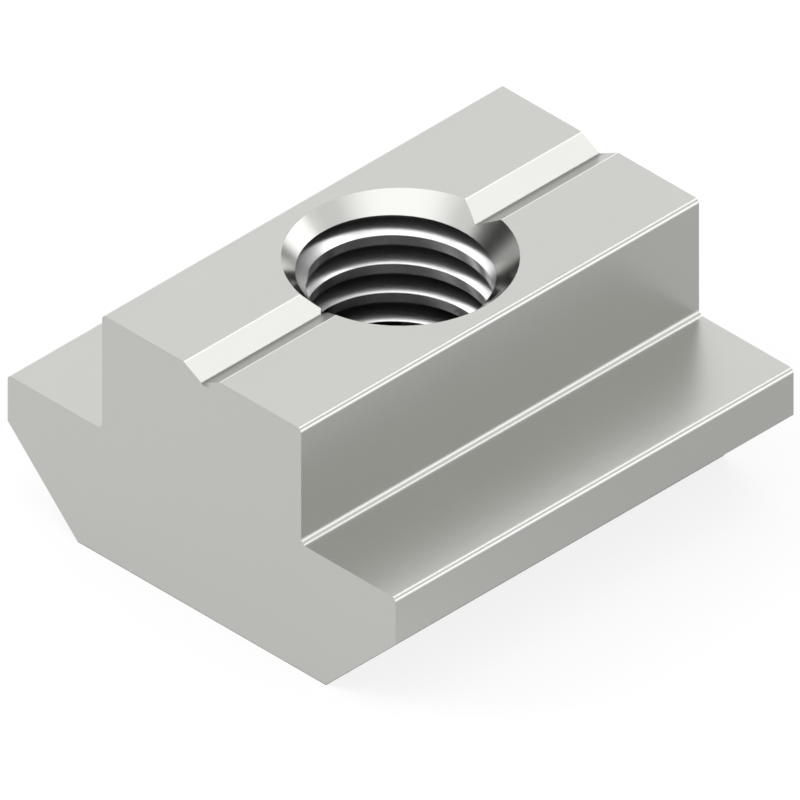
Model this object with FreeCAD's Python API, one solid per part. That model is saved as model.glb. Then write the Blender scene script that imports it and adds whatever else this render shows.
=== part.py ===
import FreeCAD, Part
import math
import os

# T slot nut: one solid piece of steel with a tapped hole. All sizes are in millimetres.
# The frame has +X along the slot, +Y across it and +Z up, out of the slot.
# The origin is in the middle of the bottom face, on the axis of the thread.

# Length cut from the bar
length = 20.0

# Section of the bar
neck_width = 10.0
neck_height = 5.0
flange_width = 19.5
flange_side_height = 2.0
underside_bevel_height = 3.5
underside_bevel_angle = 45.0
edge_radius = 0.2
shoulder_corner_radius = 0.25

# Groove along the middle of the top, which marks the way of the slot
groove_width = 1.85
groove_depth = 0.5
groove_edge_radius = 0.2
groove_root_radius = 0.1

# Metric coarse thread, right handed. The tap drill is a little over the thread's
# diameter less its pitch, as drills for tapping are.
thread_diameter = 8.0
thread_pitch = 1.25
thread_profile_angle = 60.0
root_flats_in_a_pitch = 8.0
tap_drill_allowance = 0.05
# Angle from +X at which the middle of the thread's groove is level with the bottom face
thread_start_angle = -160.0

# Countersinks at the two ends of the hole, a little wider than the thread
top_countersink_margin = 0.5
bottom_countersink_margin = 0.5
countersink_angle = 90.0

# Room by which a cutting shape stands clear of what it cuts
hole_cutter_overlap = 0.5
thread_cutter_overlap = 0.15
spare_turns_each_end = 1

# Sizes that follow from the ones above
half_turn = 180.0
shoulder_height = underside_bevel_height + flange_side_height
total_height = shoulder_height + neck_height
bevel_run = underside_bevel_height * math.tan(math.radians(underside_bevel_angle))
tap_drill_diameter = thread_diameter - thread_pitch + tap_drill_allowance
top_countersink_diameter = thread_diameter + top_countersink_margin
bottom_countersink_diameter = thread_diameter + bottom_countersink_margin
countersink_slope = math.tan(math.radians(countersink_angle / 2))


def point(x, y, z):
    return FreeCAD.Vector(x, y, z)


origin = point(0, 0, 0)
up = point(0, 0, 1)


def rounded_outline(corners):
    """A closed wire through (point, radius) corners, with an arc at each corner that has a radius."""
    count = len(corners)
    starts = []
    ends = []
    arcs = []
    for index in range(count):
        corner, radius = corners[index]
        before = (corners[index - 1][0] - corner).normalize()
        after = (corners[(index + 1) % count][0] - corner).normalize()
        half_angle = before.getAngle(after) / 2
        setback = radius / math.tan(half_angle)
        start = corner + before * setback
        end = corner + after * setback
        starts.append(start)
        ends.append(end)
        if radius > 0:
            inward = (before + after).normalize()
            middle = corner + inward * (radius / math.sin(half_angle) - radius)
            arcs.append(Part.Arc(start, middle, end).toShape())
        else:
            arcs.append(None)
    edges = []
    for index in range(count):
        if arcs[index]:
            edges.append(arcs[index])
        edges.append(Part.LineSegment(ends[index], starts[(index + 1) % count]).toShape())
    return Part.Wire(edges)


def section_half():
    """The corners of the section from the groove down to the bottom, on the +Y side."""
    return [
        (groove_width / 2, total_height, groove_edge_radius),
        (neck_width / 2, total_height, edge_radius),
        (neck_width / 2, shoulder_height, shoulder_corner_radius),
        (flange_width / 2, shoulder_height, edge_radius),
        (flange_width / 2, underside_bevel_height, 0),
        (flange_width / 2 - bevel_run, 0, 0),
    ]


def bar():
    """The bar: one section, the same along the whole length and the same on both sides."""
    x = -length / 2
    half = section_half()
    corners = [(point(x, 0, total_height - groove_depth), groove_root_radius)]
    corners += [(point(x, across, height), radius) for across, height, radius in half]
    corners += [(point(x, -across, height), radius) for across, height, radius in reversed(half)]
    return Part.Face(rounded_outline(corners)).extrude(point(length, 0, 0))


def hole():
    """The tap drill hole with a countersink at each end, turned as two halves that meet across the slot."""
    drill = tap_drill_diameter / 2
    top = top_countersink_diameter / 2
    bottom = bottom_countersink_diameter / 2
    spread = hole_cutter_overlap * countersink_slope
    outline = [
        point(0, 0, -hole_cutter_overlap),
        point(0, bottom + spread, -hole_cutter_overlap),
        point(0, drill, (bottom - drill) / countersink_slope),
        point(0, drill, total_height - (top - drill) / countersink_slope),
        point(0, top + spread, total_height + hole_cutter_overlap),
        point(0, 0, total_height + hole_cutter_overlap),
    ]
    left_half = Part.Face(Part.makePolygon(outline + outline[:1])).revolve(origin, up, half_turn)
    right_half = left_half.copy()
    right_half.rotate(origin, up, half_turn)
    return [left_half, right_half]


def thread_turn(start_height):
    """One turn of the thread's groove, a flat-bottomed V that follows a helix."""
    major = thread_diameter / 2
    inner = tap_drill_diameter / 2 - thread_cutter_overlap
    half_root = thread_pitch / root_flats_in_a_pitch / 2
    half_mouth = half_root + (major - inner) * math.tan(math.radians(thread_profile_angle / 2))
    outline = [
        point(inner, 0, -half_mouth),
        point(major, 0, -half_root),
        point(major, 0, half_root),
        point(inner, 0, half_mouth),
    ]
    profile = Part.makePolygon(outline + outline[:1])
    helix = Part.makeHelix(thread_pitch, thread_pitch, major)
    turn = Part.Wire(helix.Edges).makePipeShell([profile], True, True)
    turn.rotate(origin, up, thread_start_angle)
    turn.translate(point(0, 0, start_height))
    return turn


def slot_nut():
    """The bar with its hole drilled, countersunk and tapped right through."""
    nut = bar().cut(hole())
    turns_in_hole = math.ceil(total_height / thread_pitch)
    for turn in range(-spare_turns_each_end, turns_in_hole + spare_turns_each_end):
        nut = nut.cut(thread_turn(turn * thread_pitch))
    return nut.Solids[0]


os.makedirs("parts", exist_ok=True)
nut = slot_nut()
nut.exportStep("parts/slot_nut.step")
print("slot_nut", nut.isValid(), "volume", round(nut.Volume, 2), "faces", len(nut.Faces))
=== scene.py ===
# %% [markdown]
# # A T slot nut in plated steel
# This lesson dresses one small machine part: a nut that slides along a T shaped slot.
# The real nut is a single piece of steel. A blank is sawn from a drawn bar and plated with
# a thin bright layer of zinc, and then it is drilled, countersunk and tapped.
# The engineering model already has every true surface, the helical thread included.
# So nothing is modelled twice here: the work is the metal, the light and the camera.

# %% Load the nut
import math

import bpy
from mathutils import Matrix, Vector


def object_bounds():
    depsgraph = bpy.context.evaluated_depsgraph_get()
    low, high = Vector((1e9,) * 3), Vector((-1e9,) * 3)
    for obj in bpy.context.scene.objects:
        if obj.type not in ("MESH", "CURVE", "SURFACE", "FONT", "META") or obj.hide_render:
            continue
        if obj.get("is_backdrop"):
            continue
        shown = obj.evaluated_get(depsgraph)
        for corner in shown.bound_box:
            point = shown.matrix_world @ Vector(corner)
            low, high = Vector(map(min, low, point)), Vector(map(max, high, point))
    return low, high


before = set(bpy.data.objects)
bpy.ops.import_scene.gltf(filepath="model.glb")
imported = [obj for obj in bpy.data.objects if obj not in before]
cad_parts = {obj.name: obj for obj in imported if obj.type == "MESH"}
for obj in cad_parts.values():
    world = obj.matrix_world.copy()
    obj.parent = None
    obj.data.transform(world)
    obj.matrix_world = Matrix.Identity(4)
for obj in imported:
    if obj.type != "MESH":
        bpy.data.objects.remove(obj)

MILLIMETRES_IN_A_METRE = 1000.0

bpy.ops.object.select_all(action="DESELECT")
cad_low, cad_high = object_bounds()
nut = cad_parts["slot_nut"]
print("nut measures", [round(MILLIMETRES_IN_A_METRE * side, 2) for side in cad_high - cad_low], "mm")
print("triangles", len(nut.data.polygons))

# %% [markdown]
# ## The camera
# The nut is shown as a technical drawing shows it: in isometric view, with no perspective.
# In such a view the three axes are foreshortened alike, so the camera looks down at
# the angle whose sine is one over the square root of three, and from one corner.
# An orthographic camera gives that. Its scale is the width that the picture covers.

# %% Isometric camera
PICTURE_WIDTH = 0.02843
AIM = Vector((-0.000015, 0.000015, 0.0042675))
CAMERA_DISTANCE = 0.12
CLIPPING_RANGE = 100
TOWARDS_CAMERA = Vector((-1, -1, 1)).normalized()

bpy.ops.object.camera_add(location=AIM + TOWARDS_CAMERA * CAMERA_DISTANCE)
camera = bpy.context.active_object
camera.name = "isometric_camera"
camera.rotation_euler = (-TOWARDS_CAMERA).to_track_quat("-Z", "Y").to_euler()
camera.data.type = "ORTHO"
camera.data.ortho_scale = PICTURE_WIDTH
camera.data.clip_start = CAMERA_DISTANCE / CLIPPING_RANGE
camera.data.clip_end = CAMERA_DISTANCE * CLIPPING_RANGE
bpy.context.scene.camera = camera
bpy.context.scene.view_settings.view_transform = "Standard"
print("camera looks down at", round(math.degrees(math.asin(TOWARDS_CAMERA.z)), 2), "degrees")

# %% [markdown]
# ## Small helpers for node trees
# A material is a graph of nodes. Five short helpers keep the cells below readable: one
# adds a node and fills in its sockets, one does a sum, and one makes a soft step from
# nought to one, which is how nearly every mask in this scene is drawn. The last two put
# masks together: one keeps what lies in both, and the other turns a mask round.

# %% Node helpers
def add_node(tree, kind, settings=None, **sockets):
    """Adds a node, sets its properties, and sets or links its inputs by name or as in_NUMBER."""
    node = tree.nodes.new(kind)
    for name, value in (settings or {}).items():
        setattr(node, name, value)
    for name, value in sockets.items():
        place = int(name.removeprefix("in_")) if name.startswith("in_") else name
        socket = node.inputs[place]
        if isinstance(value, bpy.types.NodeSocket):
            tree.links.new(value, socket)
        else:
            socket.default_value = value
    return node


def sum_of(tree, operation, first, second=0.0):
    """The result of one sum on two numbers."""
    return add_node(tree, "ShaderNodeMath", {"operation": operation}, in_0=first, in_1=second).outputs[0]


def soft_step(tree, value, start, end):
    """Nought at the start value and one at the end value, with an even, rounded slope between."""
    settings = {"interpolation_type": "SMOOTHSTEP"}
    edge = {"From Min": start, "From Max": end}
    return add_node(tree, "ShaderNodeMapRange", settings, Value=value, **edge).outputs["Result"]


def both(tree, first, second):
    """One where both masks are one."""
    return sum_of(tree, "MULTIPLY", first, second)


def outside(tree, mask):
    """One where the mask is nought, and nought where it is one."""
    return sum_of(tree, "SUBTRACT", 1.0, mask)


print("helpers", [helper.__name__ for helper in (add_node, sum_of, soft_step, both, outside)])

# %% [markdown]
# ## The light
# Bright metal has hardly any colour of its own: it shows what stands round it.
# A photographer therefore builds a tent of pale cloth, hangs brighter panels in it where
# the metal should flash, and dark flags where it should go deep. The world shader can be
# such a tent. Each panel is a disc of sky with a soft edge, placed by its direction,
# so that it lights the part the same way from every camera.

# %% Directions and discs
def direction(azimuth, elevation):
    """A unit vector from degrees round from +X towards +Y, and degrees above the floor."""
    turned = math.radians(azimuth)
    raised = math.radians(elevation)
    level = math.cos(raised)
    return Vector((math.cos(turned) * level, math.sin(turned) * level, math.sin(raised)))


def soft_disc(tree, ray, centre, inner, outer):
    """One inside a disc of directions, nought outside it, with a soft edge between two angles."""
    settings = {"operation": "DOT_PRODUCT"}
    facing = add_node(tree, "ShaderNodeVectorMath", settings, in_0=ray, in_1=centre).outputs["Value"]
    start = math.cos(math.radians(outer))
    end = math.cos(math.radians(inner))
    return soft_step(tree, facing, start, end)


print("straight ahead of the camera", [round(part, 2) for part in direction(45, 0)])

# %% [markdown]
# ## Panels, flags and gaps
# Which part of the tent a face shows follows from the law of the mirror, so each panel is
# hung for one face. A panel has a gain above nought, and a flag or a gap one below it.
# The flat tops and the rounded edges need no more than a wall a little brighter than the
# tent. The low panels stay mild, because a strong one would turn the tops white when the
# camera goes round to the far side. The groove leans towards the roof, so its panel hangs
# there. The countersink is a cone that sweeps the whole tent, bright on the one side and
# dark on the other, and so does each flank of the thread.

# %% Panels in the tent
PANELS = [
    # Shown by the flat tops of the neck and the flanges
    {"name": "back wall", "at": direction(36, 15), "inner": 4, "outer": 42, "gain": 0.27},
    # Shown by the two flanks of the groove, the one bright and the other darker
    {"name": "roof panel", "at": direction(-3, 56), "inner": 7, "outer": 15, "gain": 1.60},
    {"name": "gap in the roof", "at": direction(27, 50), "inner": 4, "outer": 18, "gain": -0.45},
    {"name": "high back panel", "at": direction(60, 54), "inner": 10, "outer": 19, "gain": 1.40},
    # Shown by the rounded long edges
    {"name": "back strip", "at": direction(52, 8), "inner": 9, "outer": 18, "gain": 0.40},
    {"name": "low side panel", "at": direction(-57, -2), "inner": 19, "outer": 27, "gain": 0.60},
    {"name": "gap between the sides", "at": direction(-45, 38), "inner": 8, "outer": 25, "gain": -0.03},
    # Shown by the bright half of the countersink
    {"name": "front panel", "at": direction(-135, 58), "inner": 7, "outer": 48, "gain": 0.68},
    {"name": "side panel", "at": direction(-20, 17), "inner": 5, "outer": 23, "gain": 0.88},
    # Shown by the dark half of the countersink
    {"name": "wide dark flag", "at": direction(90, 24), "inner": 31, "outer": 46, "gain": -0.52},
    {"name": "small dark flag", "at": direction(103, 33), "inner": 3, "outer": 25, "gain": -0.53},
    {"name": "low dark flag", "at": direction(16, 0), "inner": 9, "outer": 22, "gain": -0.45},
    {"name": "gap in the wall", "at": direction(13, 12), "inner": 7, "outer": 22, "gain": -0.32},
    # Shown by the flanks of the thread
    {"name": "high side panel", "at": direction(107, 51), "inner": 8, "outer": 20, "gain": 1.30},
    {"name": "flag over the wall", "at": direction(8, 30), "inner": 6, "outer": 20, "gain": -0.70},
]
print("bright", [panel["name"] for panel in PANELS if panel["gain"] > 0])
print("dark", [panel["name"] for panel in PANELS if panel["gain"] < 0])

# %% [markdown]
# ## The tent itself
# The world adds all the discs to one even level and stops at black, because a flag
# takes light away but cannot give a negative light.

# %% A tent of soft light
TENT_LEVEL = 1.035
TENT_COLOUR = (1.0, 1.0, 1.0, 1.0)

world = bpy.data.worlds.new("light_tent")
bpy.context.scene.world = world
world.use_nodes = True
sky = world.node_tree
sky.nodes.clear()
ray = add_node(sky, "ShaderNodeTexCoord").outputs["Generated"]
level = TENT_LEVEL
for panel in PANELS:
    disc = soft_disc(sky, ray, panel["at"], panel["inner"], panel["outer"])
    level = sum_of(sky, "ADD", sum_of(sky, "MULTIPLY", disc, panel["gain"]), level)
level = sum_of(sky, "MAXIMUM", level, 0.0)
background = add_node(sky, "ShaderNodeBackground", Color=TENT_COLOUR, Strength=level)
add_node(sky, "ShaderNodeOutputWorld", Surface=background.outputs["Background"])
print("tent has", len(sky.nodes), "nodes")

# %% [markdown]
# ## The floor
# The nut stands on a plain pale sheet. A single large plane is enough. It lies a fiftieth
# of a millimetre under the nut, because two faces in the very same place would show through
# each other in patches. It is marked as stage, so that it isn't taken for a part of the nut.

# %% Pale sheet
FLOOR_SIZE = 2.0
UNDER_THE_NUT = 0.00002
LOWEST_FACE = 0.00001

bpy.ops.mesh.primitive_plane_add(size=FLOOR_SIZE, location=(0, 0, -UNDER_THE_NUT))
floor = bpy.context.active_object
floor.name = "floor"
floor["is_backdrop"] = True
footprint = [vertex.co for vertex in nut.data.vertices if vertex.co.z < LOWEST_FACE]
foot_x = max(abs(corner.x) for corner in footprint)
foot_y = max(abs(corner.y) for corner in footprint)
half_sides = [round(MILLIMETRES_IN_A_METRE * side, 2) for side in (foot_x, foot_y)]
print("the foot reaches", half_sides, "mm from the middle")

# %% [markdown]
# ## Glow and shadow on the sheet
# The sheet has to look white in the picture and in the metal, and still keep the soft
# shadow under the nut. So what the camera and the reflections see is mostly a glow, mixed
# with a lit surface that holds the shadow. There is no glow under the nut's own foot.
# Bright steel shows the sheet like a mirror. In the metal alone the glow therefore falls off
# gently from the end of the nut to its long side, as on a graded studio sheet, and that
# keeps the two upright faces apart in tone.

# %% Glow and shadow
FLOOR_COLOUR = (0.80, 0.80, 0.80, 1.0)
GLOW_COLOUR = (1.0, 1.0, 1.0, 1.0)
SHARE_OF_GLOW = 0.80
FADE_START = -0.009
FADE_END = 0.026
FADE_DEPTH = 0.35

paper = bpy.data.materials.new("pale_paper")
paper.use_nodes = True
tree = paper.node_tree
tree.nodes.clear()
light_path = add_node(tree, "ShaderNodeLightPath").outputs
own_place = add_node(tree, "ShaderNodeTexCoord").outputs["Object"]
place = add_node(tree, "ShaderNodeSeparateXYZ", Vector=own_place).outputs
beyond_x = sum_of(tree, "GREATER_THAN", sum_of(tree, "ABSOLUTE", place["X"]), foot_x)
beyond_y = sum_of(tree, "GREATER_THAN", sum_of(tree, "ABSOLUTE", place["Y"]), foot_y)
beyond_foot = sum_of(tree, "MAXIMUM", beyond_x, beyond_y)
across = sum_of(tree, "SUBTRACT", place["X"], place["Y"])
fade = sum_of(tree, "MULTIPLY", soft_step(tree, across, FADE_START, FADE_END), FADE_DEPTH)
fade = both(tree, fade, outside(tree, light_path["Is Camera Ray"]))
brightness = sum_of(tree, "SUBTRACT", beyond_foot, fade)
lit = add_node(tree, "ShaderNodeBsdfDiffuse", Color=FLOOR_COLOUR).outputs[0]
glow = add_node(tree, "ShaderNodeEmission", Color=GLOW_COLOUR, Strength=brightness).outputs[0]
shown = add_node(tree, "ShaderNodeMixShader", in_0=SHARE_OF_GLOW, in_1=lit, in_2=glow).outputs[0]
fade_width = MILLIMETRES_IN_A_METRE * (FADE_END - FADE_START)
print("glow fades by", FADE_DEPTH, "over", round(fade_width), "mm")

# %% [markdown]
# ## Who sees the glow
# Light Path tells which kind of ray has reached the sheet. The camera and mirror-like rays
# get the glow, and every other ray gets plain lit paper, so the sheet sends no extra
# light up at the nut.
# From below the sheet is clear, so that the underside can be looked at. It is clear on its
# back, and also on its front to a ray that has come through it before: otherwise the
# underside, which is a mirror too, would show the dark middle of the sheet.

# %% Choose by ray
seen = sum_of(tree, "MAXIMUM", light_path["Is Camera Ray"], light_path["Is Glossy Ray"])
seen = sum_of(tree, "MAXIMUM", seen, light_path["Is Transmission Ray"])
sheet = add_node(tree, "ShaderNodeMixShader", in_0=seen, in_1=lit, in_2=shown).outputs[0]
clear = add_node(tree, "ShaderNodeBsdfTransparent").outputs[0]
on_back = add_node(tree, "ShaderNodeNewGeometry").outputs["Backfacing"]
been_through = sum_of(tree, "MINIMUM", light_path["Transparent Depth"], 1.0)
from_below = sum_of(tree, "MAXIMUM", on_back, been_through)
sheet = add_node(tree, "ShaderNodeMixShader", in_0=from_below, in_1=sheet, in_2=clear).outputs[0]
add_node(tree, "ShaderNodeOutputMaterial", Surface=sheet)
floor.data.materials.append(paper)
print("paper has", len(tree.nodes), "nodes")

# %% [markdown]
# ## The lamp that makes the shadow
# A tent lights everything so evenly that nothing seems to stand on the floor. One broad lamp
# from behind gives the nut its soft shadow. It is kept out of the reflections, where a round
# lamp would show as a hot spot on every rounded edge.

# %% Key lamp
KEY_FROM = direction(130, 25)
KEY_STRENGTH = 1.8
KEY_SOFTNESS = math.radians(30)

bpy.ops.object.light_add(type="SUN", location=(0, 0, 0))
key = bpy.context.active_object
key.name = "key_lamp"
key.rotation_euler = KEY_FROM.to_track_quat("Z", "Y").to_euler()
key.data.energy = KEY_STRENGTH
key.data.angle = KEY_SOFTNESS
key.visible_glossy = False

# %% [markdown]
# ## Where each tool has been
# The nut has four finishes on one piece of steel: the bar was drawn, its ends were sawn,
# the hole was countersunk, and the thread was tapped. Masks tell them apart. The object's
# own coordinates give the place, here in millimetres, and its own normal gives the way that
# the surface faces. Both stay with the nut when the camera moves.

# %% Places on the steel
METRES_TO_MILLIMETRES = (MILLIMETRES_IN_A_METRE, MILLIMETRES_IN_A_METRE, MILLIMETRES_IN_A_METRE)

steel = bpy.data.materials.new("plated_steel")
steel.use_nodes = True
tree = steel.node_tree
tree.nodes.clear()
own = add_node(tree, "ShaderNodeTexCoord").outputs
spot = add_node(tree, "ShaderNodeMapping", Vector=own["Object"], Scale=METRES_TO_MILLIMETRES).outputs[0]
spot_xyz = add_node(tree, "ShaderNodeSeparateXYZ", Vector=spot).outputs
facing_xyz = add_node(tree, "ShaderNodeSeparateXYZ", Vector=own["Normal"]).outputs
lengthways = sum_of(tree, "ABSOLUTE", facing_xyz["X"])
sideways = sum_of(tree, "ABSOLUTE", facing_xyz["Y"])
x_squared = sum_of(tree, "MULTIPLY", spot_xyz["X"], spot_xyz["X"])
y_squared = sum_of(tree, "MULTIPLY", spot_xyz["Y"], spot_xyz["Y"])
radius = sum_of(tree, "SQRT", sum_of(tree, "ADD", x_squared, y_squared))
print("place nodes", len(tree.nodes))

# %% [markdown]
# ## Masks for the hole and the ends
# The hole is all that lies within the countersinks' radius, but for the groove, whose flanks
# never turn along the bar. The sawn ends are what faces along the bar, outside the hole.
# Both masks have a slightly soft edge, because a hard one shows as a jagged line.

# %% Masks
HOLE_RADIUS = 4.25
HOLE_EDGE = 0.05
GROOVE_HALF_WIDTH = 1.0
GROOVE_FACING = 0.1
END_FACING = 0.7
END_EDGE = 0.05

near_middle = sum_of(tree, "LESS_THAN", sum_of(tree, "ABSOLUTE", spot_xyz["Y"]), GROOVE_HALF_WIDTH)
not_turned = sum_of(tree, "LESS_THAN", lengthways, GROOVE_FACING)
in_groove = both(tree, near_middle, not_turned)
in_hole = soft_step(tree, radius, HOLE_RADIUS + HOLE_EDGE, HOLE_RADIUS)
in_hole = both(tree, in_hole, outside(tree, in_groove))
on_end = soft_step(tree, lengthways, END_FACING - END_EDGE, END_FACING + END_EDGE)
on_end = both(tree, on_end, outside(tree, in_hole))
print("mask nodes", len(tree.nodes))

# %% [markdown]
# ## The mask for the thread
# Both countersinks are cones of 45 degrees. So on the upper one height less radius is the
# same all over, and on the lower one height plus radius is. The thread is the part of
# the hole that lies clear between the two cones.

# %% Mask for the thread
CONE_CLEARANCE = 0.03

upper_cone = MILLIMETRES_IN_A_METRE * cad_high.z - HOLE_RADIUS
lower_cone = HOLE_RADIUS
height_less_radius = sum_of(tree, "SUBTRACT", spot_xyz["Z"], radius)
height_plus_radius = sum_of(tree, "ADD", spot_xyz["Z"], radius)
under_upper = sum_of(tree, "LESS_THAN", height_less_radius, upper_cone - CONE_CLEARANCE)
over_lower = sum_of(tree, "GREATER_THAN", height_plus_radius, lower_cone + CONE_CLEARANCE)
on_thread = both(tree, both(tree, under_upper, over_lower), in_hole)
print("upper cone starts", round(upper_cone, 2), "mm up the axis")

# %% [markdown]
# ## The marks that the tools leave
# Each tool leaves fine parallel marks, far thinner than they are long. A noise texture
# whose coordinates are squeezed one way makes such marks. The drawn bar has them along the
# slot, the sawn ends across, and the turned hole in rings, which come from the noise read at
# the radius and height alone. Each face takes the marks of its own tool.

# %% Tool marks
DRAWN_MARKS = (0.12, 9.0, 9.0)
SAWN_MARKS = (1.0, 0.3, 7.0)
TURNED_MARKS = (10.0, 10.0, 10.0)
MARK_DETAIL = 2.0


def marks(tree, place, scale):
    """Streaks from nought to one, as fine as the scale is high along each axis."""
    place = add_node(tree, "ShaderNodeMapping", Vector=place, Scale=scale).outputs[0]
    return add_node(tree, "ShaderNodeTexNoise", Vector=place, Scale=1.0, Detail=MARK_DETAIL).outputs["Fac"]


def choose(tree, mask, first, second):
    """The first value where the mask is nought and the second where it is one."""
    return add_node(tree, "ShaderNodeMix", Factor=mask, in_2=first, in_3=second).outputs[0]


rings = add_node(tree, "ShaderNodeCombineXYZ", X=radius, Y=0.0, Z=spot_xyz["Z"]).outputs[0]
streaks = marks(tree, spot, DRAWN_MARKS)
streaks = choose(tree, on_end, streaks, marks(tree, spot, SAWN_MARKS))
streaks = choose(tree, in_hole, streaks, marks(tree, rings, TURNED_MARKS))
print("mark nodes", len(tree.nodes))

# %% [markdown]
# ## Bright zinc plate
# The plate is a pale grey metal, very slightly warm. It lies a little thicker here and
# thinner there, which shows as faint clouds in its colour and gloss. It is kept so slight
# that the flat faces still look flat and clean, as they do on a new nut.

# %% Colour of the plate
PLATE_DULL = (0.492, 0.494, 0.472, 1.0)
PLATE_BRIGHT = (0.508, 0.510, 0.488, 1.0)
CLOUD_SIZE = 0.35
CLOUD_DETAIL = 3.0
SHARE_OF_EACH = 0.5


def blend_colours(tree, mask, first, second):
    """The first colour where the mask is nought and the second where it is one."""
    settings = {"data_type": "RGBA"}
    return add_node(tree, "ShaderNodeMix", settings, in_0=mask, in_6=first, in_7=second).outputs[2]


cloud_noise = add_node(tree, "ShaderNodeTexNoise", Vector=spot, Scale=CLOUD_SIZE, Detail=CLOUD_DETAIL)
clouds = cloud_noise.outputs["Fac"]
unevenness = sum_of(tree, "MULTIPLY", sum_of(tree, "ADD", clouds, streaks), SHARE_OF_EACH)
colour = blend_colours(tree, unevenness, PLATE_DULL, PLATE_BRIGHT)
print("plate is between", PLATE_DULL[:3], "and", PLATE_BRIGHT[:3])

# %% [markdown]
# ## Painted shade in the root of the groove
# The root of the sharp groove is painted darker. This is painted shade, which stands in for the
# shade at the bottom of a groove. It lies on one flank: it starts as a dark line in the root
# and fades on its way up. Two soft steps along Y draw the line, and a third keeps it to
# the height of the groove.

# %% Groove root
# The colour of the painted shade in the groove's root.
GROOVE_ROOT_SHADE = (0.25, 0.25, 0.235, 1.0)
ROOT_START = 0.04
ROOT_DARKEST = -0.05
ROOT_FADED = -0.5
ROOT_HEIGHT = 9.9
ROOT_RISE = 0.1

root_line = soft_step(tree, spot_xyz["Y"], ROOT_START, ROOT_DARKEST)
root_fade = soft_step(tree, spot_xyz["Y"], ROOT_FADED, ROOT_DARKEST)
root_level = soft_step(tree, spot_xyz["Z"], ROOT_HEIGHT, ROOT_HEIGHT + ROOT_RISE)
painted_root_shade = both(tree, both(tree, root_line, root_fade), root_level)
# The painted shade of the root goes into the colour here.
colour = blend_colours(tree, painted_root_shade, colour, GROOVE_ROOT_SHADE)
print("root is dull over", round(ROOT_START - ROOT_FADED, 2), "mm")

# %% [markdown]
# ## Where the edges turn
# The long edges of the bar are round, and so are the corners at the foot of the neck.
# Where the surface turns is read from the object's own normal: twice its upward share times
# its sideways share is nought on the flat faces and one halfway round an edge. Two soft
# steps keep a line of painted highlight on each side of that halfway place. The groove's
# flanks lean too, so everything between its two edges is left out.

# %% Lines beside the edges
LINE_START = 0.15
LINE_FULL = 0.45
LINE_FADES = 0.85
LINE_END = 1.0
GROOVE_EDGE = 0.87

off_middle = sum_of(tree, "ABSOLUTE", spot_xyz["Y"])
turn = sum_of(tree, "MULTIPLY", sum_of(tree, "MULTIPLY", facing_xyz["Z"], sideways), 2.0)
line = soft_step(tree, turn, LINE_START, LINE_FULL)
line = both(tree, line, soft_step(tree, turn, LINE_END, LINE_FADES))
line = both(tree, line, sum_of(tree, "GREATER_THAN", off_middle, GROOVE_EDGE))
line = both(tree, line, outside(tree, in_hole))
print("edge nodes", len(tree.nodes))

# %% [markdown]
# ## Painted highlight lines
# Each long edge gets a pair of fine lines in a paler colour. These are painted highlights:
# they stand in for the reflections that a round edge shows on each side of its middle.
# The line on the side is painted at full strength and the one on top at a little of it.
# In the corners at the foot of the neck the lines are weaker. The groove's edge gets a painted
# highlight on one side, the same side as the painted shade in its root.

# %% Painted highlight lines
# The colour of the painted highlight lines beside the edges.
PAINTED_HIGHLIGHT = (0.81, 0.81, 0.79, 1.0)
TOP_SHARE = 0.2
SIDE_SHARE = 1.0
CORNER_SHARE = 0.6
NECK_SIDE = 5.0
CORNER_RADIUS = 0.25
GROOVE_SHARE = 0.9

on_side = sum_of(tree, "GREATER_THAN", sideways, facing_xyz["Z"])
share = choose(tree, on_side, TOP_SHARE, SIDE_SHARE)
by_groove = sum_of(tree, "LESS_THAN", off_middle, GROOVE_HALF_WIDTH)
highlit_groove_edge = both(tree, by_groove, sum_of(tree, "LESS_THAN", spot_xyz["Y"], 0.0))
share = choose(tree, highlit_groove_edge, share, GROOVE_SHARE)
line = sum_of(tree, "MULTIPLY", line, share)
beyond_neck = sum_of(tree, "GREATER_THAN", off_middle, NECK_SIDE)
before_flange = sum_of(tree, "LESS_THAN", off_middle, NECK_SIDE + CORNER_RADIUS)
in_corner = both(tree, beyond_neck, before_flange)
line = sum_of(tree, "MULTIPLY", line, choose(tree, in_corner, 1.0, CORNER_SHARE))
# The painted highlights go into the colour here.
colour = blend_colours(tree, line, colour, PAINTED_HIGHLIGHT)
print("painted_highlight lines are up to", round(PAINTED_HIGHLIGHT[0] / PLATE_BRIGHT[0], 2), "times as bright as the plate")

# %% [markdown]
# ## Fresh cuts
# Plate would thicken a thread, so the hole is cut after plating. Fresh cut steel is paler
# than the plate, so the countersink is a little paler. The crests of the thread are painted
# much paler still, with no warm tint, as a painted highlight, and the roots darker, as painted
# shade. The colour darkens smoothly from crest to root, by the distance from the axis.

# %% Fresh cuts
COUNTERSINK_STEEL = (0.56, 0.562, 0.54, 1.0)
# Crests are painted paler as a painted highlight, and roots darker as painted shade.
CREST_HIGHLIGHT_STEEL = (0.86, 0.86, 0.86, 1.0)
ROOT_SHADE_STEEL = (0.36, 0.36, 0.36, 1.0)
CREST_RADIUS = 3.4
ROOT_RADIUS = 4.0

# Painted shade from crest to root, by the distance from the axis.
painted_thread_shade = soft_step(tree, radius, CREST_RADIUS, ROOT_RADIUS)
thread_colour = blend_colours(tree, painted_thread_shade, CREST_HIGHLIGHT_STEEL, ROOT_SHADE_STEEL)
colour = blend_colours(tree, in_hole, colour, COUNTERSINK_STEEL)
colour = blend_colours(tree, on_thread, colour, thread_colour)
print("crests are", round(CREST_HIGHLIGHT_STEEL[0] / PLATE_BRIGHT[0], 2), "times as bright as the plate")

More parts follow.
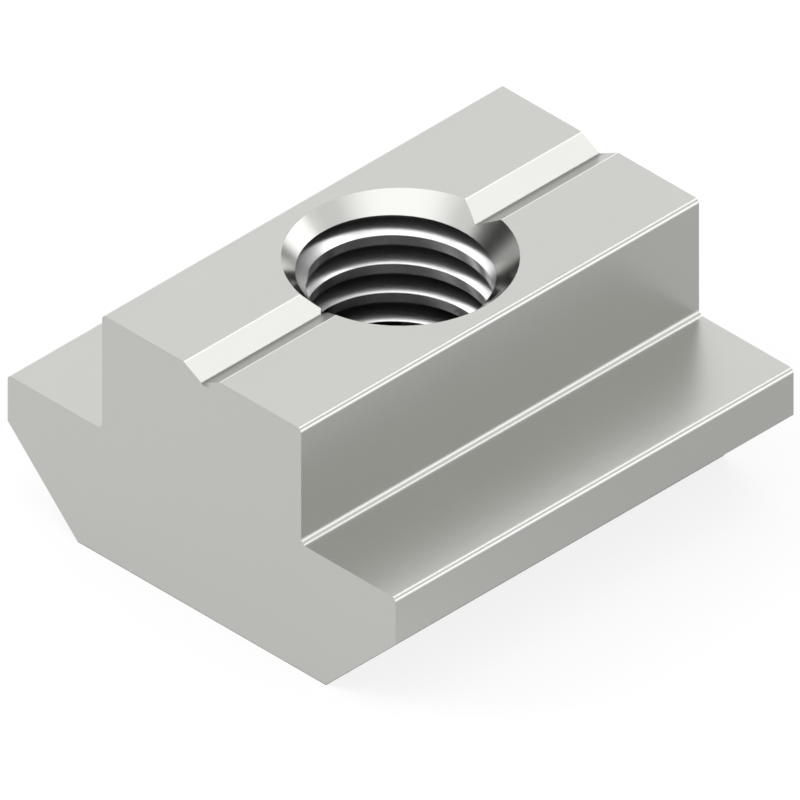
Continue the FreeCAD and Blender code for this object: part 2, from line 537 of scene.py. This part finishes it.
# %% [markdown]
# ## Gloss and relief
# Gloss follows the tool too. The drawn bar is the dullest, the countersink was turned
# smooth, and the tapped thread lies between. The streaks and clouds change the gloss a
# little, and the streaks raise a relief of well under a thousandth of a millimetre through
# a bump node, which is enough to soften the reflections along the marks.

# %% Gloss and relief
BAR_ROUGHNESS = 0.30
COUNTERSINK_ROUGHNESS = 0.15
THREAD_ROUGHNESS = 0.20
STREAK_ROUGHNESS = 0.06
MIDDLE_OF_THE_NOISE = 0.5
MARK_HEIGHT = 0.0000004
MARK_STRENGTH = 0.5

gloss = choose(tree, in_hole, BAR_ROUGHNESS, COUNTERSINK_ROUGHNESS)
gloss = choose(tree, on_thread, gloss, THREAD_ROUGHNESS)
uneven_gloss = sum_of(tree, "SUBTRACT", unevenness, MIDDLE_OF_THE_NOISE)
uneven_gloss = sum_of(tree, "MULTIPLY", uneven_gloss, STREAK_ROUGHNESS)
roughness = sum_of(tree, "ADD", gloss, uneven_gloss)
bump = add_node(tree, "ShaderNodeBump", Height=streaks, Distance=MARK_HEIGHT, Strength=MARK_STRENGTH)
relief = bump.outputs["Normal"]
print("roughness from", COUNTERSINK_ROUGHNESS, "to", BAR_ROUGHNESS)

# %% [markdown]
# ## Putting the steel on the nut
# One Principled shader takes it all. Metallic is one all over, so it is set on the shader
# itself, and the colour, gloss and relief come from the nodes above. The nut's mesh is left
# as it is: only its material slot changes.

# %% Plated steel
looks = {"Base Color": colour, "Roughness": roughness, "Normal": relief}
shader = add_node(tree, "ShaderNodeBsdfPrincipled", Metallic=1.0, **looks)
add_node(tree, "ShaderNodeOutputMaterial", Surface=shader.outputs["BSDF"])
nut.data.materials.clear()
nut.data.materials.append(steel)
print("steel has", len(tree.nodes), "nodes")

# %% [markdown]
# ## Finish
# The box of the model is written down before and after, so that anyone can see that
# the looks have not changed a single dimension.

# %% Measure and finish
low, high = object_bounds()
growth = (high - low) - (cad_high - cad_low)
print("box grew by", [round(MILLIMETRES_IN_A_METRE * side, 4) for side in growth], "mm")
